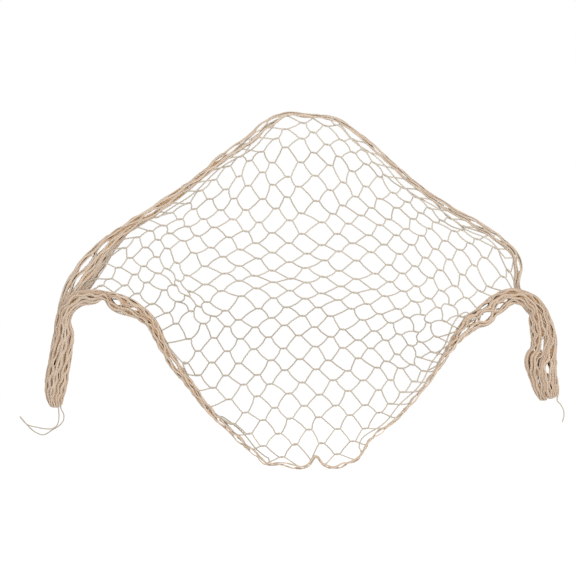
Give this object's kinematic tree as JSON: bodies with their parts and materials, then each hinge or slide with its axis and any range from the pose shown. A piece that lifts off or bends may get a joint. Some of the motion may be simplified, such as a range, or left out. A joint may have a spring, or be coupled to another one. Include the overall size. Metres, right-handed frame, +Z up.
{
  "type": "decorative fishing net",
  "caption": "Hung decorative net of knotted natural twine: an open diamond-mesh panel between two gathered edges that end in hanging tails with loose twine ends.",
  "frame": {"origin": "top of the upper gathered edge, where the net hangs", "axes": "+X to the right along the net's width, +Y away from the viewer, +Z up"},
  "size_m": [1.2309, 0.1408, 0.801],
  "materials": {
    "twine": "matte twisted natural fibre"
  },
  "bodies": {
    "root": {"net": "twine", "loose_end_left_a": "twine", "loose_end_left_b": "twine", "loose_end_right": "twine"}
  },
  "joints": []
}
